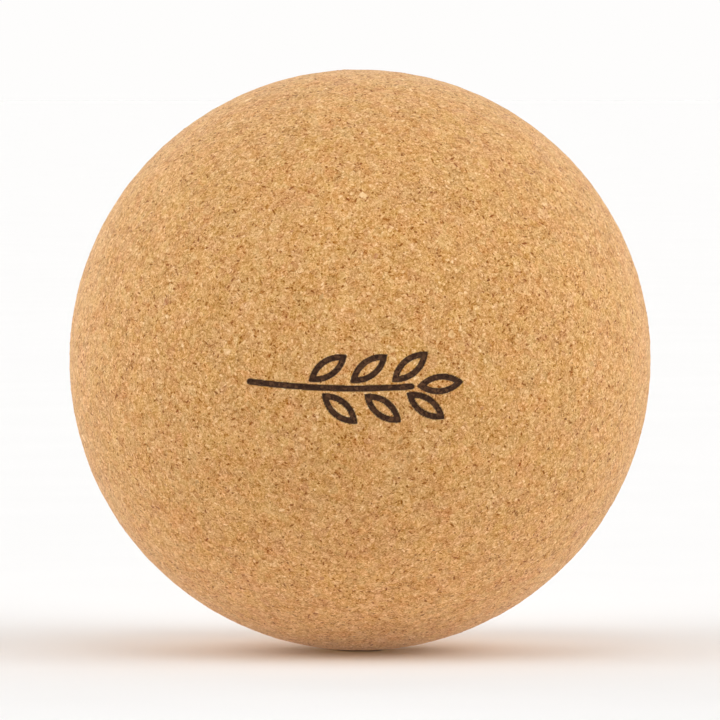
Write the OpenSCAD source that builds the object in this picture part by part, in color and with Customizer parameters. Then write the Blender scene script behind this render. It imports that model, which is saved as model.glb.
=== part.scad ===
// Cork massage ball: a solid ball of pressed cork with a leaf sprig burnt into its front.
//
// The ball is one bonded lump, so nothing on it turns, slides or comes off. The separate solids
// are what the lump is made of: a body of fine granules and binder, the coarse granules that
// show in its skin, and the charred lining of the burnt line.
//
// Millimetres. The origin is the ball's centre, +Z is up, and the sprig faces -Y.

/* [Ball] */
// Diameter of the ball
ball_d = 100; // [80:1:120]

/* [Burnt sprig] */
// Width of the burnt line
line_w = 0.9; // [0.6:0.05:1.1]
// Depth of the burnt line below the skin of the ball
line_depth = 0.5; // [0.3:0.05:0.8]
// Thickness of the charred lining on the floor of the line
char_t = 0.25; // [0.1:0.05:0.25]
// Length of the sprig's stem, from its cut end to the tip leaf
stem_l = 27; // [24:1:30]
// Length of one leaf
leaf_l = 7.6; // [6:0.2:8]
// Width of one leaf
leaf_w = 3.3; // [3:0.1:4]
// How far the middle of the sprig lies below the middle of the ball
sprig_drop = 3; // [0:0.5:6]
// Angle between a side leaf and the stem
leaf_angle = 38; // [30:1:50]
// Number of side leaves above the stem, and the same number below it
leaf_pairs = 3; // [2:1:3]

/* [Coarse granules] */
// Coarse granules of every kind together
granule_spots = 192; // [60:6:216]
// Width of an average coarse granule across its middle
granule_w = 1.3; // [1:0.1:2]
// Depth of a coarse granule below the skin of the ball
granule_depth = 1.1; // [0.6:0.1:1.6]
// Seed of the granules' places and outlines
granule_seed = 41; // [1:1:99]

/* [Hidden] */

ball_r = ball_d / 2;
ball_facets = 256;
line_facets = 96;
// How far a cutting shape stands out of the ball
over = 1;

// Clear cork between a leaf and the stem
leaf_gap = 0.55;
// The sprig is drawn in a plane with x to the right and y up, centred on its own origin.
sprig_w = stem_l + leaf_gap + leaf_l + line_w;
stem_start = (line_w - sprig_w) / 2;
stem_end = stem_start + stem_l;
// The stem is a shallow arc, low in the middle.
stem_bend_r = 150;
leaf_pitch = 7;
leaf_first = stem_start + 8.6;
// A leaf's two sides are arcs of this radius.
leaf_side_r = (pow(leaf_l / 2, 2) + pow(leaf_w / 2, 2)) / leaf_w;
// The cutting shapes reach this far back, past the skin at the sprig's two ends.
sprig_reach = 8;

// The kinds take turns along the spiral of granules.
PALE = 0;
GOLDEN = 1;
TAN = 2;
RUSSET = 3;
OLIVE = 4;
DARK = 5;
// Size of each kind against granule_w
kind_size = [1.1, 1.15, 1.0, 0.9, 0.9, 0.6];
kinds = len(kind_size);
// One granule follows another by the golden angle, which spreads them evenly.
golden_turn = 180 * (3 - sqrt(5));
spot_pitch = sqrt(4 * PI / granule_spots) * ball_r;
// A granule strays from its even place by up to this angle.
stray = asin(0.28 * spot_pitch / ball_r);
granule_corners = 7;
// No coarse granule lies where the ball meets the floor, or under the sprig, or on the meridian
// at +X, where the sphere's surface closes on itself.
foot_clear_angle = 12;
closing_clear_angle = 2.6;
sprig_clear_x = sprig_w / 2 + 2;
sprig_clear_z = leaf_l + 1;

chance = rands(-1, 1, granule_spots * (granule_corners + 4), granule_seed);
function luck(i, k) = chance[i * (granule_corners + 4) + k];

function spot_lat(i) = asin(1 - 2 * (i + 0.5) / granule_spots) + stray * luck(i, 0);
// How much wider a given angle of longitude is for the same distance, near a pole
function widening(i) = 1 / max(0.2, cos(spot_lat(i)));
function half_turn(a) = a - 360 * round(a / 360);
function aside(a, least) = abs(a) >= least ? a : a < 0 ? -least : least;
function spot_lon(i) = aside(
    half_turn(i * golden_turn + stray * luck(i, 1) * widening(i)),
    closing_clear_angle * widening(i)
);
function spot_point(i) = ball_r * [
    cos(spot_lat(i)) * cos(spot_lon(i)),
    cos(spot_lat(i)) * sin(spot_lon(i)),
    sin(spot_lat(i))
];
function by_the_foot(i) = spot_lat(i) < foot_clear_angle - 90;
function on_the_sprig(i) = let (p = spot_point(i))
    p.y < 0 && abs(p.x) < sprig_clear_x && abs(p.z + sprig_drop) < sprig_clear_z;
function is_used(i) = !by_the_foot(i) && !on_the_sprig(i);

// Corner k of granule i's outline: an uneven oval, longer than it is wide
function corner(i, k, w) = let (
    turn = 360 * (k + 0.3 * luck(i, 2 + k)) / granule_corners,
    reach = w / 2 * (1 + 0.18 * luck(i, 2 + (k + 3) % granule_corners))
) [1.3 * reach * cos(turn), reach * sin(turn)];

module ball() {
    sphere(r = ball_r, $fn = ball_facets);
}

// A prism that cuts granule i's outline out of the skin
module granule_cutter(i, kind) {
    w = granule_w * kind_size[kind] * (1 + 0.25 * luck(i, granule_corners + 2));
    depth = granule_depth * min(1, kind_size[kind]);
    rotate([0, 90 - spot_lat(i), spot_lon(i)])
        translate([0, 0, ball_r - depth])
            rotate(180 * luck(i, granule_corners + 3))
                linear_extrude(depth + over)
                    polygon([for (k = [0:granule_corners - 1]) corner(i, k, w)]);
}

module granule_cutters(kind) {
    for (i = [kind:kinds:granule_spots - 1])
        if (is_used(i))
            granule_cutter(i, kind);
}

module granules(kind) {
    intersection() {
        ball();
        granule_cutters(kind);
    }
}

// The outline of a lens shape between two arcs that meet at its ends
module lens(side_r) {
    offset_x = leaf_side_r - leaf_w / 2;
    intersection() {
        translate([0, offset_x])
            circle(r = side_r, $fn = line_facets);
        translate([0, -offset_x])
            circle(r = side_r, $fn = line_facets);
    }
}

module leaf() {
    difference() {
        lens(leaf_side_r);
        lens(leaf_side_r - line_w);
    }
}

function stem_y(x) = stem_bend_r - sqrt(pow(stem_bend_r, 2) - pow(x, 2));
function stem_slope(x) = asin(x / stem_bend_r);

module stem() {
    intersection() {
        translate([0, stem_bend_r])
            difference() {
                circle(r = stem_bend_r + line_w / 2, $fn = 4 * line_facets);
                circle(r = stem_bend_r - line_w / 2, $fn = 4 * line_facets);
            }
        translate([stem_start, -leaf_w])
            square([stem_l, 3 * leaf_w]);
    }
    for (x = [stem_start, stem_end])
        translate([x, stem_y(x)])
            circle(d = line_w, $fn = line_facets);
}

// Side leaves grow to one side of the stem: 1 for above it, -1 for below it.
module side_leaves(side) {
    for (n = [0:leaf_pairs - 1]) {
        x = leaf_first + n * leaf_pitch + (side < 0 ? leaf_pitch / 3 : 0);
        translate([x, stem_y(x)])
            rotate(stem_slope(x) + side * leaf_angle)
                translate([(line_w / 2 + leaf_gap) / sin(leaf_angle) + leaf_l / 2, 0])
                    leaf();
    }
}

module tip_leaf() {
    x = stem_end + line_w / 2 + leaf_gap + leaf_l / 2;
    translate([x, stem_y(x)])
        rotate(stem_slope(x))
            leaf();
}

// Carries a flat outline through the front of the ball, as the burning beam does
module through_front() {
    translate([0, sprig_reach - ball_r, -sprig_drop])
        rotate([90, 0, 0])
            linear_extrude(sprig_reach + over)
                children();
}

// The burnt-out space under an outline, down to the floor of the line
module burnt_space() {
    difference() {
        through_front()
            children();
        sphere(r = ball_r - line_depth, $fn = ball_facets);
    }
}

// The charred layer on the floor of the burnt-out space
module charred() {
    color([0.16, 0.10, 0.07])
        intersection() {
            burnt_space()
                children();
            sphere(r = ball_r - line_depth + char_t, $fn = ball_facets);
        }
}

module cork_body() {
    color([0.83, 0.62, 0.40])
        difference() {
            ball();
            for (kind = [0:kinds - 1])
                granule_cutters(kind);
            burnt_space()
                stem();
            burnt_space()
                side_leaves(1);
            burnt_space()
                side_leaves(-1);
            burnt_space()
                tip_leaf();
        }
}

module pale_granules() {
    color([0.94, 0.79, 0.58])
        granules(PALE);
}

module golden_granules() {
    color([0.89, 0.70, 0.42])
        granules(GOLDEN);
}

module tan_granules() {
    color([0.76, 0.55, 0.36])
        granules(TAN);
}

module russet_granules() {
    color([0.70, 0.45, 0.31])
        granules(RUSSET);
}

module olive_granules() {
    color([0.66, 0.55, 0.38])
        granules(OLIVE);
}

module dark_granules() {
    color([0.45, 0.29, 0.18])
        granules(DARK);
}

module char_stem() {
    charred()
        stem();
}

module char_upper_leaves() {
    charred()
        side_leaves(1);
}

module char_lower_leaves() {
    charred()
        side_leaves(-1);
}

module char_tip_leaf() {
    charred()
        tip_leaf();
}

cork_body();
pale_granules();
golden_granules();
tan_granules();
russet_granules();
olive_granules();
dark_granules();
char_stem();
char_upper_leaves();
char_lower_leaves();
char_tip_leaf();
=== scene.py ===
"""The looks of a cork massage ball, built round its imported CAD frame.

The CAD body is shown as a skin with the relief of its granules and the groove of the burnt sprig
cut into it. The coarse granules are flakes set flush in that skin, and the CAD's charred lining
lies in the groove. Every material is made of nodes that read the piece's own coordinates.

Metres, in the row frame: the origin is the ball's centre, +Z is up and the sprig faces -Y.
"""
import math

import bpy
import numpy as np
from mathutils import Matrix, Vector


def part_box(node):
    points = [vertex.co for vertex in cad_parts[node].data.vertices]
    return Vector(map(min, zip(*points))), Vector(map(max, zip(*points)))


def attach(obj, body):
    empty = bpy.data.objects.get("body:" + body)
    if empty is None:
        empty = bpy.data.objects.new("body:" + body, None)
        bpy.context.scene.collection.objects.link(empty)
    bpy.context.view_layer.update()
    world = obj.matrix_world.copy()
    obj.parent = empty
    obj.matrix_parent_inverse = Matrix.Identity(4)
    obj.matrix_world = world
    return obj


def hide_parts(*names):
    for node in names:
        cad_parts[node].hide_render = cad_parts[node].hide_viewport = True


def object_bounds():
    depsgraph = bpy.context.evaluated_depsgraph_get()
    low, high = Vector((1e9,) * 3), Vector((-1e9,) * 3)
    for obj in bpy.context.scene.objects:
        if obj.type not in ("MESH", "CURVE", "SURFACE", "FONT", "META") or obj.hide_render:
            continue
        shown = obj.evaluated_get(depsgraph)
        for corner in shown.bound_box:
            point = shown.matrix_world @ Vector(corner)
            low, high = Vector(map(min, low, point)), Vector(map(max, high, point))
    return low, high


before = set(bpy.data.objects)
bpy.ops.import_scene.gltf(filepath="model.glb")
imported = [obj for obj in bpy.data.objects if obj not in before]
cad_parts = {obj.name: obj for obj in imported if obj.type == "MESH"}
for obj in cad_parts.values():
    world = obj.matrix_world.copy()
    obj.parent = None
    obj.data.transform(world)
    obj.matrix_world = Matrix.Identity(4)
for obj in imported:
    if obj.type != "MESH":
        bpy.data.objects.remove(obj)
cad_low, cad_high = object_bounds()

MM = 0.001
BALL_R = (cad_high.z - cad_low.z) / 2
FLOOR_Z = cad_low.z

# ---------------------------------------------------------------- the sprig, as the CAD draws it

LINE_W = 0.9 * MM
LINE_DEPTH = 0.5 * MM
LEAF_L = 7.6 * MM
LEAF_W = 3.3 * MM
LEAF_ANGLE = math.radians(38)
LEAF_PITCH = 7 * MM
LEAF_PAIRS = 3
LEAF_GAP = 0.55 * MM
FIRST_LEAF = 8.6 * MM
STEM_BEND_R = 150 * MM
STEM_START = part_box("char_stem")[0].x + LINE_W / 2
STEM_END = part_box("char_stem")[1].x - LINE_W / 2
LEAF_SIDE_R = ((LEAF_L / 2) ** 2 + (LEAF_W / 2) ** 2) / LEAF_W
# Height of the sprig's own origin, where the stem is lowest
SPRIG_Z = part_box("char_stem")[0].z + LINE_W / 2


def stem_z(x):
    return STEM_BEND_R - math.sqrt(STEM_BEND_R**2 - x**2)


def stem_slope(x):
    return math.asin(x / STEM_BEND_R)


def leaf_places():
    """Each leaf's centre and angle in the sprig's plane."""
    places = []
    for side in (1, -1):
        for n in range(LEAF_PAIRS):
            x = STEM_START + FIRST_LEAF + n * LEAF_PITCH + (LEAF_PITCH / 3 if side < 0 else 0)
            angle = stem_slope(x) + side * LEAF_ANGLE
            along = (LINE_W / 2 + LEAF_GAP) / math.sin(LEAF_ANGLE) + LEAF_L / 2
            centre = (x + along * math.cos(angle), stem_z(x) + along * math.sin(angle))
            places.append((centre, angle))
    x = STEM_END + LINE_W / 2 + LEAF_GAP + LEAF_L / 2
    places.append(((x, stem_z(x)), stem_slope(x)))
    return places


def stem_distance(x, z):
    """Distance from the stem's edge, negative inside the line."""
    beside = np.abs(np.hypot(x, z - STEM_BEND_R) - STEM_BEND_R)
    from_start = np.hypot(x - STEM_START, z - stem_z(STEM_START))
    from_end = np.hypot(x - STEM_END, z - stem_z(STEM_END))
    within = (x > STEM_START) & (x < STEM_END)
    return np.where(within, beside, np.minimum(from_start, from_end)) - LINE_W / 2


def leaf_distance(x, z, centre, angle):
    """Distance from the edge of a leaf's line, negative inside the line."""
    dx = x - centre[0]
    dz = z - centre[1]
    along = dx * math.cos(angle) + dz * math.sin(angle)
    across = dz * math.cos(angle) - dx * math.sin(angle)
    outside = np.hypot(along, np.abs(across) + LEAF_SIDE_R - LEAF_W / 2) - LEAF_SIDE_R
    return np.abs(outside + LINE_W / 2) - LINE_W / 2


def sprig_distance(x, z):
    """Distance from the edge of the nearest burnt line, negative inside it."""
    z = z - SPRIG_Z
    nearest = stem_distance(x, z)
    for centre, angle in leaf_places():
        nearest = np.minimum(nearest, leaf_distance(x, z, centre, angle))
    return nearest


# ---------------------------------------------------------------- relief of the cork

# Each granule of the relief is a low dome, which rises to its full height over this share of the
# granule's size, and stands this share of its height below the skin at its border.
RELIEF_GRANULE = 2.2 * MM
RELIEF_HEIGHT = 0.05 * MM
DOME_RUN = 0.6
DOME_SUNK = 0.6
# One granule stands higher or lower than the next by up to this much.
RELIEF_STEP = 0.05 * MM
WAVE_HEIGHT = 0.015 * MM
WAVE_LENGTHS = (8 * MM, 20 * MM)
WAVE_COUNT = 12
WAVE_SEED = 5


def smooth_step(x):
    x = np.clip(x, 0, 1)
    return x * x * (3 - 2 * x)


def scrambled(cell, seed):
    """Four repeatable random numbers from 0 to 1 for each row of three whole numbers."""
    mixed = (cell[:, 0] * 73856093) ^ (cell[:, 1] * 19349663) ^ (cell[:, 2] * 83492791)
    mixed ^= seed * 2654435
    numbers = []
    for _ in range(4):
        mixed = (mixed * 1103515245 + 12345) & 0x7FFFFFFF
        mixed ^= mixed >> 13
        numbers.append((mixed & 0xFFFFF) / 0xFFFFF)
    return np.stack(numbers, axis=1)


def granule_field(points, size, seed):
    """How far each point is from the border of the granule that it lies in, and that granule's luck."""
    base = np.floor(points / size).astype(np.int64)
    nearest = np.full(len(points), 1e9)
    second = np.full(len(points), 1e9)
    luck = np.zeros(len(points))
    for step in np.ndindex(3, 3, 3):
        cell = base + np.array(step) - 1
        chance = scrambled(cell, seed)
        distance = np.linalg.norm((cell + chance[:, :3]) * size - points, axis=1)
        closer = distance < nearest
        second = np.where(closer, nearest, np.minimum(second, distance))
        luck = np.where(closer, chance[:, 3], luck)
        nearest = np.where(closer, distance, nearest)
    return second - nearest, luck


def long_waves(points):
    """The slight unevenness that hand sanding leaves, from -1 to 1."""
    chance = np.random.default_rng(WAVE_SEED)
    total = np.zeros(len(points))
    for _ in range(WAVE_COUNT):
        way = chance.normal(size=3)
        way /= np.linalg.norm(way)
        length = chance.uniform(*WAVE_LENGTHS)
        total += np.sin(points @ way * (2 * math.pi / length) + chance.uniform(0, 2 * math.pi))
    return total / math.sqrt(WAVE_COUNT)


def relief(points):
    """Height of the skin over the sphere at each point."""
    border, luck = granule_field(points, RELIEF_GRANULE, seed=3)
    dome = smooth_step(border / (DOME_RUN * RELIEF_GRANULE)) - DOME_SUNK
    return RELIEF_HEIGHT * dome + RELIEF_STEP * (luck - 0.5) + WAVE_HEIGHT * long_waves(points)


def unit(vectors):
    """Each row's direction, as a vector of length 1."""
    return vectors / np.linalg.norm(vectors, axis=-1, keepdims=True)


# ---------------------------------------------------------------- meshes

# Points closer together than this are one point.
WELD = 0.001 * MM


def new_piece(name, points, faces, smooth=True):
    mesh = bpy.data.meshes.new(name)
    mesh.from_pydata(points, [], faces)
    mesh.update()
    if smooth:
        mesh.shade_smooth()
    piece = bpy.data.objects.new(name, mesh)
    bpy.context.scene.collection.objects.link(piece)
    return piece


def set_attribute(piece, name, values):
    attribute = piece.data.attributes.new(name, "FLOAT", "POINT")
    attribute.data.foreach_set("value", np.asarray(values, np.float32))


# The skin is a cube blown up into a sphere. Each side of the cube is named by the directions of
# its outside, its right and its top.
CUBE_SIDES = (
    ((0, -1, 0), (1, 0, 0), (0, 0, 1)),
    ((1, 0, 0), (0, 1, 0), (0, 0, 1)),
    ((0, 1, 0), (-1, 0, 0), (0, 0, 1)),
    ((-1, 0, 0), (0, -1, 0), (0, 0, 1)),
    ((0, 0, 1), (1, 0, 0), (0, 1, 0)),
    ((0, 0, -1), (1, 0, 0), (0, -1, 0)),
)
SIDE_CELLS = 112
# A cell's width in the middle of a side
CELL = math.pi / 2 * BALL_R / SIDE_CELLS
# The front side's cells under the sprig are each split this many times each way.
FINE = 4
FINE_CELLS_X = 31
FINE_CELLS_Z = 11
# The six sides lie on the texture in this many columns and rows, with a gap between them.
UV_COLUMNS = 3
UV_ROWS = 2
UV_INSET = 0.004


def side_points(side, right, up):
    """Points on the sphere for places from 0 to 1 across one side of the cube."""
    out_way, right_way, up_way = (np.array(d, float) for d in CUBE_SIDES[side])
    a = np.tan((right - 0.5) * math.pi / 2)[:, None]
    b = np.tan((up - 0.5) * math.pi / 2)[:, None]
    return BALL_R * unit(out_way + a * right_way + b * up_way)


def plain_side():
    """Places and faces of a side with even cells."""
    ticks = np.arange(SIDE_CELLS + 1) / SIDE_CELLS
    right, up = (m.ravel() for m in np.meshgrid(ticks, ticks, indexing="ij"))
    corner = np.arange((SIDE_CELLS + 1) ** 2).reshape(SIDE_CELLS + 1, -1)
    faces = np.stack([corner[:-1, :-1], corner[1:, :-1], corner[1:, 1:], corner[:-1, 1:]], axis=-1)
    return right, up, faces.reshape(-1, 4).tolist()


def fine_side():
    """Places and faces of the front side, whose cells are split under the sprig."""
    middle = np.array([SIDE_CELLS // 2, SIDE_CELLS // 2 + round(SPRIG_Z / CELL)])
    low = (middle - (FINE_CELLS_X, FINE_CELLS_Z)) * FINE
    high = (middle + (FINE_CELLS_X, FINE_CELLS_Z)) * FINE
    count = SIDE_CELLS * FINE + 1
    i, j = np.meshgrid(np.arange(count), np.arange(count), indexing="ij")
    used = (i % FINE == 0) & (j % FINE == 0)
    used |= (i >= low[0]) & (i <= high[0]) & (j >= low[1]) & (j <= high[1])
    corner = np.full((count, count), -1)
    corner[used] = np.arange(used.sum())
    faces = []

    def add_cell(i0, j0, size):
        steps = range(size)
        rim = [corner[i0 + s, j0] for s in steps]
        rim += [corner[i0 + size, j0 + s] for s in steps]
        rim += [corner[i0 + size - s, j0 + size] for s in steps]
        rim += [corner[i0, j0 + size - s] for s in steps]
        faces.append([int(c) for c in rim if c >= 0])

    for i0 in range(0, count - 1, FINE):
        for j0 in range(0, count - 1, FINE):
            if low[0] <= i0 < high[0] and low[1] <= j0 < high[1]:
                for di, dj in np.ndindex(FINE, FINE):
                    add_cell(i0 + di, j0 + dj, 1)
            else:
                add_cell(i0, j0, FINE)
    return i[used] / (count - 1), j[used] / (count - 1), faces


def snapped_to_lines(points):
    """Slides the points next to a burnt line's edge onto that edge, so that it is cut cleanly."""
    reach = 0.5 * CELL / FINE
    x, z = points[:, 0], points[:, 2]
    step = 0.01 * MM
    gap = sprig_distance(x, z)
    slope_x = (sprig_distance(x + step, z) - sprig_distance(x - step, z)) / (2 * step)
    slope_z = (sprig_distance(x, z + step) - sprig_distance(x, z - step)) / (2 * step)
    near = (points[:, 1] < 0) & (np.abs(gap) < reach)
    moved = points.copy()
    moved[near, 0] -= (gap * slope_x)[near]
    moved[near, 2] -= (gap * slope_z)[near]
    moved[near, 1] = -np.sqrt(BALL_R**2 - moved[near, 0] ** 2 - moved[near, 2] ** 2)
    return moved


def line_gap(points):
    """Distance from the burnt lines' edge for points anywhere on the ball."""
    gap = sprig_distance(points[:, 0], points[:, 2])
    return np.where(points[:, 1] < 0, gap, BALL_R)


# The groove's wall comes down to its floor within this distance of the line's edge, and the skin
# is scorched this far outside it.
WALL_RUN = 0.14 * MM
SCORCH_REACH = 0.1 * MM


def make_ball():
    """The skin: six sides welded into one sphere, with the relief and the groove of the sprig."""
    points, places, faces = [], [], []
    start = 0
    for side in range(len(CUBE_SIDES)):
        right, up, side_faces = fine_side() if side == 0 else plain_side()
        points.append(side_points(side, right, up))
        u = (side % UV_COLUMNS + UV_INSET + right * (1 - 2 * UV_INSET)) / UV_COLUMNS
        v = (side // UV_COLUMNS + UV_INSET + up * (1 - 2 * UV_INSET)) / UV_ROWS
        places.append(np.stack([u, v], axis=1))
        faces += [[start + c for c in face] for face in side_faces]
        start += len(right)
    points = np.concatenate(points)
    places = np.concatenate(places)
    corners = np.concatenate([np.array(face) for face in faces])
    _, first, joined = np.unique(
        np.round(points / WELD).astype(np.int64), axis=0, return_index=True, return_inverse=True
    )
    joined = joined.ravel()
    points = snapped_to_lines(points[first])
    faces = [[int(joined[c]) for c in face] for face in faces]

    gap = line_gap(points)
    height = relief(points) * smooth_step((gap + LINE_W) / LINE_W)
    height -= LINE_DEPTH * smooth_step(-gap / WALL_RUN)
    ball = new_piece("cork_ball", points + unit(points) * height[:, None], faces)
    set_attribute(ball, "scorch", smooth_step((SCORCH_REACH - gap) / SCORCH_REACH))
    layer = ball.data.uv_layers.new(name="OFBake")
    layer.uv.foreach_set("vector", places[corners].astype(np.float32).ravel())
    return ball


# ---------------------------------------------------------------- coarse granules

# Each kind's node, how many smaller granules join the CAD's own, and their size in millimetres
CHIP_KINDS = {
    "pale_granules": dict(extra=420, size=0.95),
    "golden_granules": dict(extra=380, size=1.0),
    "tan_granules": dict(extra=380, size=0.9),
    "russet_granules": dict(extra=420, size=0.85),
    "olive_granules": dict(extra=300, size=0.8),
    "dark_granules": dict(extra=520, size=0.5),
}
# A small granule's size against its kind's, bent by this power so that small ones are common, and
# its half length and half width against its size
EXTRA_SIZE = (0.5, 1.0)
EXTRA_SIZE_POWER = 1.3
EXTRA_HALF_LENGTH = (0.5, 0.85)
EXTRA_HALF_WIDTH = (0.22, 0.42)
CLEAR_OF_LINE = 0.15 * MM

FLAKE_SEED = 41
CHIP_CORNERS = 9
# How far a corner strays round the outline, in shares of the corners' spacing, and in or out
CORNER_STRAY = (-0.35, 0.35)
CORNER_REACH = (-0.4, 0.1)
CHIP_DEPTH = 0.45 * MM
CHIP_PROUD = 0.03 * MM
CHIP_RIM = -0.05 * MM
# Share of the outline's reach and height for each ring of a chip's top, and of its reach at the foot
CHIP_RINGS = ((0.45, 1.0), (0.82, 0.8), (1.0, 0.0))
CHIP_FOOT = 0.75


# A CAD granule's points this close to the sphere are its outline in the skin.
SKIN_NEAR = 0.05 * MM


def islands(mesh):
    """The CAD's separate granules in one node, each as the array of its points."""
    count = len(mesh.vertices)
    owner = list(range(count))
    keys = {}

    def root(i):
        while owner[i] != i:
            owner[i] = owner[owner[i]]
            i = owner[i]
        return i

    points = np.array([v.co for v in mesh.vertices])
    for i, key in enumerate(map(tuple, np.round(points / WELD).astype(int))):
        owner[root(i)] = root(keys.setdefault(key, i))
    for a, b in (e.vertices for e in mesh.edges):
        owner[root(a)] = root(b)
    groups = {}
    for i in range(count):
        groups.setdefault(root(i), []).append(i)
    return [points[members] for members in groups.values()]


def tangents(ways, turns):
    """Two directions in the skin at each way, turned about it."""
    aside = np.where(np.abs(ways[:, 2:3]) < 0.9, [[0.0, 0.0, 1.0]], [[1.0, 0.0, 0.0]])
    across = unit(np.cross(aside, ways))
    along = np.cross(ways, across)
    c, s = np.cos(turns)[:, None], np.sin(turns)[:, None]
    return c * across + s * along, c * along - s * across


def cad_chips(node):
    """Direction, half length, half width and turn of each granule that the CAD has."""
    rows = []
    for points in islands(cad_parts[node].data):
        top = points[np.linalg.norm(points, axis=1) > BALL_R - SKIN_NEAR]
        way = unit(top.mean(axis=0))
        across, along = (d[0] for d in tangents(way[None], np.zeros(1)))
        flat = np.stack([top @ across, top @ along], axis=1)
        flat -= flat.mean(axis=0)
        _, spread, axes = np.linalg.svd(flat, full_matrices=False)
        halves = np.abs(flat @ axes.T).max(axis=0)
        rows.append((*way, halves[0], halves[1], math.atan2(axes[0, 1], axes[0, 0])))
    return np.array(rows)


def extra_chips(kind, chance, taken_ways, taken_reach):
    """Smaller granules between those that are placed already."""
    rows = []
    while len(rows) < kind["extra"]:
        way = unit(chance.normal(size=3))
        size = kind["size"] * MM * chance.uniform(*EXTRA_SIZE) ** EXTRA_SIZE_POWER
        half_length = size * chance.uniform(*EXTRA_HALF_LENGTH)
        half_width = size * chance.uniform(*EXTRA_HALF_WIDTH)
        turn = chance.uniform(0, math.pi)
        apart = np.linalg.norm(np.array(taken_ways) - way, axis=1) * BALL_R
        clear = line_gap(way[None] * BALL_R)[0] > CLEAR_OF_LINE
        if clear and (apart > np.array(taken_reach) + half_length).all():
            rows.append((*way, half_length, half_width, turn))
            taken_ways.append(way)
            taken_reach.append(half_length)
    return np.array(rows)


def make_chips(name, node, rows, chance):
    """One piece of separate closed flakes, set flush in the skin."""
    count = len(rows)
    ways, half_length, half_width, turns = rows[:, :3], rows[:, 3], rows[:, 4], rows[:, 5]
    across, along = tangents(ways, turns)
    k = np.arange(CHIP_CORNERS)
    angles = 2 * math.pi * (k + chance.uniform(*CORNER_STRAY, (count, CHIP_CORNERS))) / CHIP_CORNERS
    reach = 1 + chance.uniform(*CORNER_REACH, (count, CHIP_CORNERS))
    out_x = half_length[:, None] * reach * np.cos(angles)
    out_y = half_width[:, None] * reach * np.sin(angles)

    def ring(share, height):
        """The outline shrunk to share, at height over the skin."""
        flat = (out_x * share)[..., None] * across[:, None]
        flat = flat + (out_y * share)[..., None] * along[:, None]
        spot = unit(ways[:, None] * BALL_R + flat)
        skin = relief((spot * BALL_R).reshape(-1, 3)).reshape(count, -1)
        return spot * (BALL_R + skin + height)[..., None]

    rings = [ring(0.0, CHIP_PROUD)[:, :1]]
    for share, rise in CHIP_RINGS:
        rings.append(ring(share, CHIP_RIM + rise * (CHIP_PROUD - CHIP_RIM)))
    rings.append(ring(CHIP_FOOT, -CHIP_DEPTH))
    rings.append(ring(0.0, -CHIP_DEPTH)[:, :1])
    points = np.concatenate(rings, axis=1)

    # Point 0 is the chip's top, then come its rings from the top down, and the last is its foot.
    faces = []
    layers = len(CHIP_RINGS) + 1
    for n in range(CHIP_CORNERS):
        m = (n + 1) % CHIP_CORNERS
        faces.append([0, 1 + n, 1 + m])
        for layer in range(layers - 1):
            upper, lower = 1 + layer * CHIP_CORNERS, 1 + (layer + 1) * CHIP_CORNERS
            faces.append([upper + n, lower + n, lower + m, upper + m])
        last = 1 + (layers - 1) * CHIP_CORNERS
        faces.append([last + m, last + n, last + CHIP_CORNERS])
    per_chip = points.shape[1]
    all_faces = [[c + i * per_chip for c in face] for i in range(count) for face in faces]
    piece = new_piece(name, points.reshape(-1, 3), all_faces)
    set_attribute(piece, "luck", np.repeat(chance.uniform(0, 1, count), per_chip))
    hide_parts(node)
    return piece


# ---------------------------------------------------------------- materials

def linear(red, green, blue):
    """A screen colour of 0 to 255 as the linear colour that a shader takes."""
    def one(value):
        value /= 255
        return value / 12.92 if value <= 0.04045 else ((value + 0.055) / 1.055) ** 2.4
    return (one(red), one(green), one(blue), 1.0)


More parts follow.
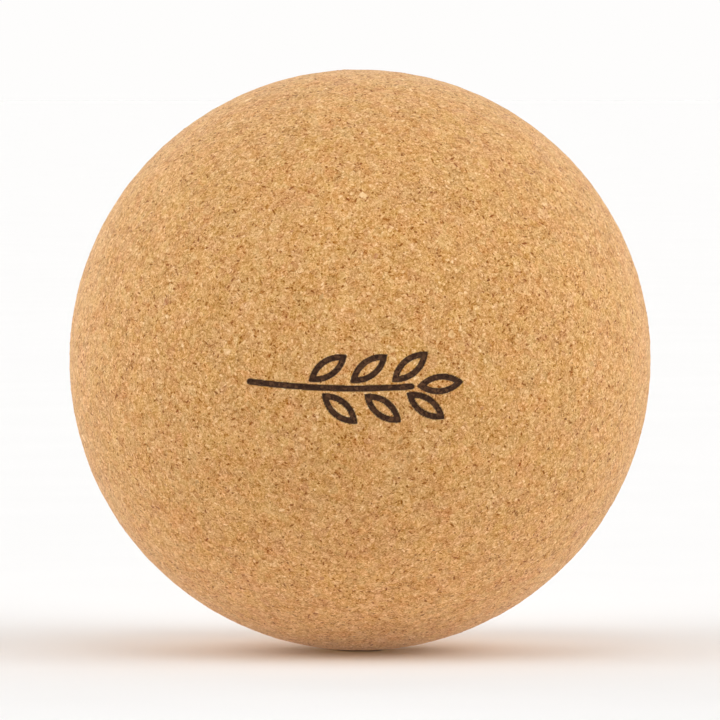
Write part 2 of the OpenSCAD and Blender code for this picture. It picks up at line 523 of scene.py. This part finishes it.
class Shader:
    """A material's nodes. Each call adds one and returns its output, and a number, a colour or
    another call's output can be fed to any input."""

    def __init__(self, name):
        self.material = bpy.data.materials.new(name)
        self.material.use_nodes = True
        self.tree = self.material.node_tree
        self.tree.nodes.clear()
        self.place = self.scaled(self.node("ShaderNodeTexCoord").outputs["Object"], 1 / MM)

    def node(self, kind, inputs=None, **settings):
        made = self.tree.nodes.new(kind)
        for name, value in settings.items():
            setattr(made, name, value)
        for key, value in (inputs or {}).items():
            if isinstance(value, bpy.types.NodeSocket):
                self.tree.links.new(value, made.inputs[key])
            else:
                made.inputs[key].default_value = value
        return made

    def math(self, operation, a, b=0.0, c=0.0):
        return self.node("ShaderNodeMath", {0: a, 1: b, 2: c}, operation=operation).outputs[0]

    def vector(self, operation, a, b=(0, 0, 0)):
        made = self.node("ShaderNodeVectorMath", {0: a, 1: b}, operation=operation)
        return made.outputs["Value" if operation in ("DOT_PRODUCT", "LENGTH") else "Vector"]

    def scaled(self, a, factor):
        made = self.node("ShaderNodeVectorMath", {0: a, "Scale": factor}, operation="SCALE")
        return made.outputs["Vector"]

    def weighted(self, value, weight):
        return self.math("MULTIPLY", value, weight)

    def lean(self, value, weight):
        """weight times how far value, from 0 to 1, is from its middle."""
        return self.weighted(self.math("SUBTRACT", value, 0.5), weight)

    def total(self, first, *rest):
        for value in rest:
            first = self.math("ADD", first, value)
        return first

    def between(self, value, low, high, out_low=0.0, out_high=1.0):
        """value eased from out_low at low to out_high at high."""
        made = self.node(
            "ShaderNodeMapRange",
            {"Value": value, "From Min": low, "From Max": high, "To Min": out_low, "To Max": out_high},
            interpolation_type="SMOOTHSTEP",
        )
        return made.outputs["Result"]

    def noise(self, at, per_mm, detail=2.0, roughness=0.5, colour=False):
        made = self.node(
            "ShaderNodeTexNoise",
            {"Vector": at, "Scale": per_mm, "Detail": detail, "Roughness": roughness},
        )
        return made.outputs["Color" if colour else "Fac"]

    def cells(self, at, size, feature="F1"):
        made = self.node("ShaderNodeTexVoronoi", {"Vector": at, "Scale": 1 / size}, feature=feature)
        return made.outputs

    def ramp(self, value, stops, interpolation="LINEAR"):
        """stops is a list of (place, colour)."""
        made = self.node("ShaderNodeValToRGB", {"Fac": value})
        made.color_ramp.interpolation = interpolation
        elements = made.color_ramp.elements
        while len(elements) < len(stops):
            elements.new(1.0)
        for element, (at, colour) in zip(elements, stops):
            element.position = at
            element.color = colour
        return made.outputs["Color"]

    def mix(self, share, a, b, blend="MIX"):
        made = self.node(
            "ShaderNodeMix", {"Factor": share, "A": a, "B": b}, data_type="RGBA", blend_type=blend
        )
        return made.outputs["Result"]

    def part(self, colour, channel):
        made = self.node("ShaderNodeSeparateColor", {"Color": colour})
        return made.outputs[channel]

    def attribute(self, name):
        return self.node("ShaderNodeAttribute", attribute_name=name).outputs["Fac"]

    def warped(self, at, reach, per_mm):
        """at, pushed about by up to reach."""
        push = self.vector("SUBTRACT", self.noise(at, per_mm, colour=True), (0.5, 0.5, 0.5))
        return self.vector("ADD", at, self.scaled(push, 2 * reach))

    def stretched(self, at, way, share):
        """at, shrunk along way, so that a pattern on it runs long that way."""
        along = self.vector("DOT_PRODUCT", at, way)
        made = self.node("ShaderNodeVectorMath", {0: way, "Scale": along}, operation="SCALE")
        return self.vector("SUBTRACT", at, self.scaled(made.outputs["Vector"], share))

    def own_way(self, luck_colour):
        """A direction of each cell's own, from its random colour."""
        return self.vector("NORMALIZE", self.vector("SUBTRACT", luck_colour, (0.5, 0.5, 0.5)))

    def finish(self, colour, roughness, height, gloss=0.35, sheen=0.0):
        """Ends the material and returns it. height is in millimetres."""
        bump = self.node("ShaderNodeBump", {"Strength": 1.0, "Distance": MM, "Height": height})
        surface = self.node(
            "ShaderNodeBsdfPrincipled",
            {
                "Base Color": colour,
                "Roughness": roughness,
                "Normal": bump.outputs["Normal"],
                "IOR": 1.45,
                "Specular IOR Level": gloss,
                "Sheen Weight": sheen,
                "Sheen Roughness": 0.5,
            },
        )
        out = self.node("ShaderNodeOutputMaterial")
        self.tree.links.new(surface.outputs[0], out.inputs["Surface"])
        return self.material


def specks(s, size, share, radius, stretch, seed):
    """Scattered long spots, 1 in a spot's middle and 0 outside it. One cell of the given size in
    1 / share holds a spot, whose length is 1 / (1 - stretch) times its width."""
    at = s.warped(s.vector("ADD", s.place, (seed, 2.3 * seed, -1.7 * seed)), reach=0.1, per_mm=2.0)
    cells = s.cells(at, size)
    offset = s.vector("SUBTRACT", at, cells["Position"])
    away = s.vector("LENGTH", s.stretched(offset, s.own_way(cells["Color"]), stretch))
    spot = s.between(away, radius, radius * 0.5)
    held = s.math("LESS_THAN", s.part(cells["Color"], "Green"), share)
    return s.math("MULTIPLY", spot, held)


STREAK_STRETCH = 0.7
BROAD_STREAKS = dict(per_mm=1.9, detail=1.0)
NARROW_STREAKS = dict(per_mm=3.6, detail=1.0, roughness=0.7)
NARROW_SHARE = 0.62
# As the grain rises over this span, a surface goes from its first roughness to its second.
GRAIN_SPAN = (0.3, 0.7)
SKIN_ROUGHNESS = (0.92, 0.78)
FLAKE_ROUGHNESS = (0.92, 0.8)
CHAR_ROUGHNESS = (0.95, 0.75)
FLOOR_ROUGHNESS = 0.9


def streaks(s, at, way):
    """Short streaks that run along way, from 0 to 1 and 0.5 on average."""
    along = s.stretched(at, way, STREAK_STRETCH)
    broad = s.noise(along, **BROAD_STREAKS)
    narrow = s.noise(along, **NARROW_STREAKS)
    return s.math("MULTIPLY_ADD", narrow, NARROW_SHARE, s.weighted(broad, 1 - NARROW_SHARE))


# What a tone from 0 to 1 looks like, from the darkest crumb to the palest fleck
CORK_TONES = [
    (0.0, linear(146, 82, 14)),
    (0.25, linear(190, 131, 64)),
    (0.5, linear(214, 161, 97)),
    (0.75, linear(234, 187, 127)),
    (1.0, linear(250, 214, 164)),
]
MIDDLE_TONE = 0.5
# What a step of warmth, from mauve to golden, and one of rosiness, from green to pink, add to a
# colour, and how much of each comes from place to place and from granule to granule
WARMER = (1.03, 0.15, -0.53)
ROSIER = (0.99, -0.95, 0.19)
WARMTH_DRIFT = 0.05
WARMTH_LUCK = 0.028
ROSY_DRIFT = 0.05
ROSY_LUCK = 0.016
# The drift goes no further towards green than this.
LEAST_PINK = 0.46
DRIFT = dict(per_mm=0.15, detail=3.0, roughness=0.65)
CORK_SHEEN = 0.12


def drifted(s, colour, granule):
    """colour with the faint drifts of hue from place to place and from granule to granule."""
    drift = s.noise(s.place, **DRIFT)
    other = s.noise(s.scaled(s.place, -1.0), **DRIFT)
    pinker = s.math("MAXIMUM", other, LEAST_PINK)
    warmth = s.total(s.lean(drift, WARMTH_DRIFT), s.lean(s.part(granule, "Green"), WARMTH_LUCK))
    rosiness = s.total(s.lean(pinker, ROSY_DRIFT), s.lean(s.part(granule, "Blue"), ROSY_LUCK))
    colour = s.vector("ADD", colour, s.scaled(WARMER, warmth))
    return s.vector("ADD", colour, s.scaled(ROSIER, rosiness))


# The body's granules come in two sizes, in millimetres.
LARGE_GRANULE = 1.5
SMALL_GRANULE = 0.6
CRACK_WIDTH = 0.1
# The borders between granules show as cracks only here and there, where this noise rises past
# the span.
CRACK_PATCHES = dict(per_mm=0.9)
CRACK_SPAN = (0.42, 0.62)
BROAD_TONES = dict(per_mm=0.14, detail=3.0)
DARK_SPECKS = dict(size=0.95, share=0.24, radius=0.22, stretch=0.72, seed=3.1)
PALE_SPECKS = dict(size=1.1, share=0.22, radius=0.24, stretch=0.7, seed=11.7)
# What each feature adds to the tone of the skin, and to its height in millimetres
SKIN_TONE = dict(grain=2.2, large=0.12, small=0.23, crack=-0.12, dark=-0.52, pale=0.22, broad=0.12)
SKIN_HEIGHT = dict(crack=-0.02, grain=0.04, dark=-0.05, small=0.012)
SCORCHED = linear(58, 36, 20)


def cork_material():
    """Fine granules pressed together: each has its own tone and its own way of running streaks."""
    s = Shader("pressed_cork")
    at = s.warped(s.place, reach=0.3, per_mm=1.1)
    large = s.cells(at, LARGE_GRANULE)["Color"]
    small = s.cells(at, SMALL_GRANULE)["Color"]
    grain = streaks(s, s.place, s.own_way(small))
    inside = s.cells(at, SMALL_GRANULE, "DISTANCE_TO_EDGE")["Distance"]
    border = s.between(inside, 0.0, CRACK_WIDTH, 1.0, 0.0)
    cracked = s.between(s.noise(s.place, **CRACK_PATCHES), *CRACK_SPAN)
    crack = s.math("MULTIPLY", border, cracked)
    dark = specks(s, **DARK_SPECKS)
    pale = specks(s, **PALE_SPECKS)
    tone = s.total(
        s.math("ADD", s.lean(grain, SKIN_TONE["grain"]), MIDDLE_TONE),
        s.lean(s.part(large, "Red"), SKIN_TONE["large"]),
        s.lean(s.part(small, "Red"), SKIN_TONE["small"]),
        s.weighted(crack, SKIN_TONE["crack"]),
        s.weighted(dark, SKIN_TONE["dark"]),
        s.weighted(pale, SKIN_TONE["pale"]),
        s.lean(s.noise(s.place, **BROAD_TONES), SKIN_TONE["broad"]),
    )
    colour = drifted(s, s.ramp(tone, CORK_TONES), large)
    colour = s.mix(s.attribute("scorch"), colour, SCORCHED)
    height = s.total(
        s.weighted(crack, SKIN_HEIGHT["crack"]),
        s.weighted(grain, SKIN_HEIGHT["grain"]),
        s.weighted(dark, SKIN_HEIGHT["dark"]),
        s.weighted(s.part(small, "Blue"), SKIN_HEIGHT["small"]),
    )
    roughness = s.between(grain, *GRAIN_SPAN, *SKIN_ROUGHNESS)
    return s.finish(colour, roughness, height, sheen=CORK_SHEEN)


# How far each kind's tone is from the skin's, and the colour that it leans to
FLAKES = {
    "pale_granules": (0.12, linear(250, 214, 162)),
    "golden_granules": (0.06, linear(218, 168, 90)),
    "tan_granules": (-0.10, linear(192, 136, 84)),
    "russet_granules": (-0.08, linear(182, 118, 86)),
    "olive_granules": (-0.08, linear(196, 162, 112)),
    "dark_granules": (-0.34, linear(124, 78, 48)),
}
FLAKE_LEANING = 0.26
# A flake's strength multiplies how far its tone is from the skin's and how far it leans. It rises
# over this span of luck, so that a few flakes of each kind differ far more than the rest do.
STRONG_LUCK = (0.4, 1.0)
STRENGTHS = (0.8, 1.9)
# What each feature adds to the tone of a flake, and the height of its grain in millimetres
FLAKE_TONE = dict(grain=2.2, luck=0.16, small=0.2)
FLAKE_GRAIN_HEIGHT = 0.04
FLAKE_CELL = 0.5
# A flake's streaks run a way of their own, which swings this fast with its luck. They are read
# from this far away along it, so that no two flakes share them.
FLAKE_SWING = 40.0
FLAKE_APART = 31.0


def granule_material(node):
    """One kind of coarse granule: like the skin, but of one tone and with streaks of one direction."""
    shift, towards = FLAKES[node]
    s = Shader(node.replace("_granules", "_cork"))
    luck = s.attribute("luck")
    swing = s.math("SINE", s.weighted(luck, FLAKE_SWING))
    own = s.node("ShaderNodeCombineXYZ", {"X": luck, "Y": swing, "Z": 0.4})
    way = s.vector("NORMALIZE", own.outputs["Vector"])
    at = s.vector("ADD", s.place, s.scaled(way, FLAKE_APART))
    grain = streaks(s, at, way)
    small = s.cells(s.warped(at, reach=0.2, per_mm=2.0), FLAKE_CELL)["Color"]
    strength = s.between(luck, *STRONG_LUCK, *STRENGTHS)
    tone = s.total(
        s.math("ADD", s.lean(grain, FLAKE_TONE["grain"]), MIDDLE_TONE),
        s.weighted(strength, shift),
        s.lean(luck, FLAKE_TONE["luck"]),
        s.lean(s.part(small, "Red"), FLAKE_TONE["small"]),
    )
    leaning = s.weighted(strength, FLAKE_LEANING)
    colour = s.mix(leaning, s.ramp(tone, CORK_TONES), towards)
    height = s.weighted(grain, FLAKE_GRAIN_HEIGHT)
    roughness = s.between(grain, *GRAIN_SPAN, *FLAKE_ROUGHNESS)
    return s.finish(colour, roughness, height, sheen=CORK_SHEEN)


CHAR_CELL = 0.45
CHAR_TONES = [
    (0.0, linear(52, 30, 16)),
    (0.35, linear(66, 41, 25)),
    (0.7, linear(82, 53, 33)),
    (0.9, linear(104, 70, 46)),
]
ASH = linear(104, 74, 52)
CHAR_GRAIN_HEIGHT = 0.12


def char_material():
    """Charred granules, some of them paler, with a crumbling grain."""
    s = Shader("burnt_cork")
    at = s.warped(s.place, reach=0.15, per_mm=2.0)
    cells = s.cells(at, CHAR_CELL)
    grain = s.noise(at, 5.0, detail=3.0, roughness=0.7)
    colour = s.ramp(s.part(cells["Color"], "Red"), CHAR_TONES)
    colour = s.mix(s.between(grain, 0.5, 0.75, 0.0, 0.5), colour, ASH)
    height = s.weighted(grain, CHAR_GRAIN_HEIGHT)
    return s.finish(colour, s.between(grain, *GRAIN_SPAN, *CHAR_ROUGHNESS), height)


# ---------------------------------------------------------------- the pieces

def build():
    """The ball, its flakes and its burnt sprig, each with its material."""
    ball = make_ball()
    ball.data.materials.append(cork_material())
    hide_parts("cork_body")
    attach(ball, "root")

    chance = np.random.default_rng(FLAKE_SEED)
    rows = {node: cad_chips(node) for node in CHIP_KINDS}
    taken_ways = [row[:3] for group in rows.values() for row in group]
    taken_reach = [row[3] for group in rows.values() for row in group]
    for node, kind in CHIP_KINDS.items():
        rows[node] = np.concatenate([rows[node], extra_chips(kind, chance, taken_ways, taken_reach)])
    for node in CHIP_KINDS:
        flakes = make_chips(node.replace("granules", "flakes"), node, rows[node], chance)
        flakes.data.materials.append(granule_material(node))
        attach(flakes, "root")

    char = char_material()
    for node in ("char_stem", "char_upper_leaves", "char_lower_leaves", "char_tip_leaf"):
        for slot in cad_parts[node].material_slots:
            slot.material = char


# ---------------------------------------------------------------- floor, light and camera

FLOOR_R = 40.0
FLOOR_CORNERS = 96
FLOOR_CLOUDS = dict(per_mm=0.02, detail=2.0)
FLOOR_TONES = (linear(239, 238, 237), linear(238, 237, 236))


def make_floor():
    angles = [2 * math.pi * k / FLOOR_CORNERS for k in range(FLOOR_CORNERS)]
    rim = [(FLOOR_R * math.cos(a), FLOOR_R * math.sin(a), FLOOR_Z) for a in angles]
    floor = new_piece("floor", rim, [list(range(len(rim)))], smooth=False)
    s = Shader("pale_floor")
    cloud = s.between(s.noise(s.place, **FLOOR_CLOUDS), 0.3, 0.7)
    colour = s.mix(cloud, *FLOOR_TONES)
    floor.data.materials.append(s.finish(colour, FLOOR_ROUGHNESS, 0.0, gloss=0.0))


def direction(azimuth, elevation):
    """The way out from the ball's centre at these angles in degrees."""
    a, e = math.radians(azimuth), math.radians(elevation)
    return Vector((math.sin(a) * math.cos(e), -math.cos(a) * math.cos(e), math.sin(e)))


# The studio's large, far softboxes: azimuth, elevation and strength of each, in degrees and in
# shares of what makes white paper that faces it white. Azimuth 0 is in front of the sprig, and 90
# is to its right.
SOFTBOXES = {
    "softbox_left": (-65, 20, 0.33),
    "softbox_right": (65, 20, 0.39),
    "softbox_high_left": (-45, 60, 0.26),
    "softbox_high_right": (45, 60, 0.25),
    "softbox_side_left": (-90, 35, 0.11),
    "softbox_side_right": (90, 35, 0.15),
    "softbox_back_left": (-135, 10, 0.50),
    "softbox_back_right": (135, 10, 0.39),
    "softbox_back": (180, 35, 0.22),
}
SOFTBOX_SPREAD = math.radians(55)
SOFTBOX_DISTANCE = 1.5
# The pale table also lights the ball from below, a little cooler than the softboxes do.
GLOW_R = 52 * MM
GLOW_STRENGTH = 0.20
GLOW_COLOUR = (0.92, 1.0, 1.2)
GLOW_LIFT = 0.2 * MM
# The far wall is seen as just as bright as the lit floor, so that no horizon shows.
WALL = linear(254, 253, 252)


def make_softbox(name, azimuth, elevation, strength):
    lamp = bpy.data.lights.new(name, "SUN")
    lamp.angle = SOFTBOX_SPREAD
    lamp.energy = math.pi * strength
    box = bpy.data.objects.new(name, lamp)
    box.rotation_mode = "QUATERNION"
    box.rotation_quaternion = (-direction(azimuth, elevation)).to_track_quat("-Z", "Y")
    box.location = SOFTBOX_DISTANCE * direction(azimuth, elevation)
    bpy.context.scene.collection.objects.link(box)


def make_table_glow():
    lamp = bpy.data.lights.new("table_glow", "AREA")
    lamp.shape = "DISK"
    lamp.size = 2 * GLOW_R
    lamp.color = GLOW_COLOUR
    lamp.energy = math.pi * (math.pi * GLOW_R**2) * GLOW_STRENGTH
    glow = bpy.data.objects.new("table_glow", lamp)
    glow.rotation_euler = (math.pi, 0, 0)
    glow.location = (0, 0, FLOOR_Z + GLOW_LIFT)
    glow.visible_camera = False
    bpy.context.scene.collection.objects.link(glow)


def make_room():
    """A pale wall all round, which lights nothing by itself, and the softboxes."""
    world = bpy.data.worlds.new("studio")
    world.use_nodes = True
    tree = world.node_tree
    background = tree.nodes["Background"]
    background.inputs["Color"].default_value = WALL
    seen = tree.nodes.new("ShaderNodeLightPath").outputs["Is Camera Ray"]
    tree.links.new(seen, background.inputs["Strength"])
    bpy.context.scene.world = world
    for name, settings in SOFTBOXES.items():
        make_softbox(name, *settings)
    make_table_glow()
    bpy.context.scene.view_settings.view_transform = "Standard"


CAMERA_AZIMUTH = 1.0
CAMERA_ELEVATION = 2.0
CAMERA_DISTANCE = 30 * BALL_R
CAMERA_SENSOR = 36.0
CAMERA_CLIP = (0.01, 20.0)
# The ball's outline fills this share of the picture's width.
BALL_SHARE = 0.807


def make_camera():
    data = bpy.data.cameras.new("camera")
    data.sensor_width = CAMERA_SENSOR
    outline = BALL_R / math.sqrt(CAMERA_DISTANCE**2 - BALL_R**2)
    data.lens = CAMERA_SENSOR * BALL_SHARE / (2 * outline)
    data.clip_start, data.clip_end = CAMERA_CLIP
    camera = bpy.data.objects.new("camera", data)
    camera.location = CAMERA_DISTANCE * direction(CAMERA_AZIMUTH, CAMERA_ELEVATION)
    camera.rotation_mode = "QUATERNION"
    camera.rotation_quaternion = (-camera.location).to_track_quat("-Z", "Y")
    bpy.context.scene.collection.objects.link(camera)
    bpy.context.scene.camera = camera


make_camera()
build()
make_floor()
make_room()

bpy.context.view_layer.update()
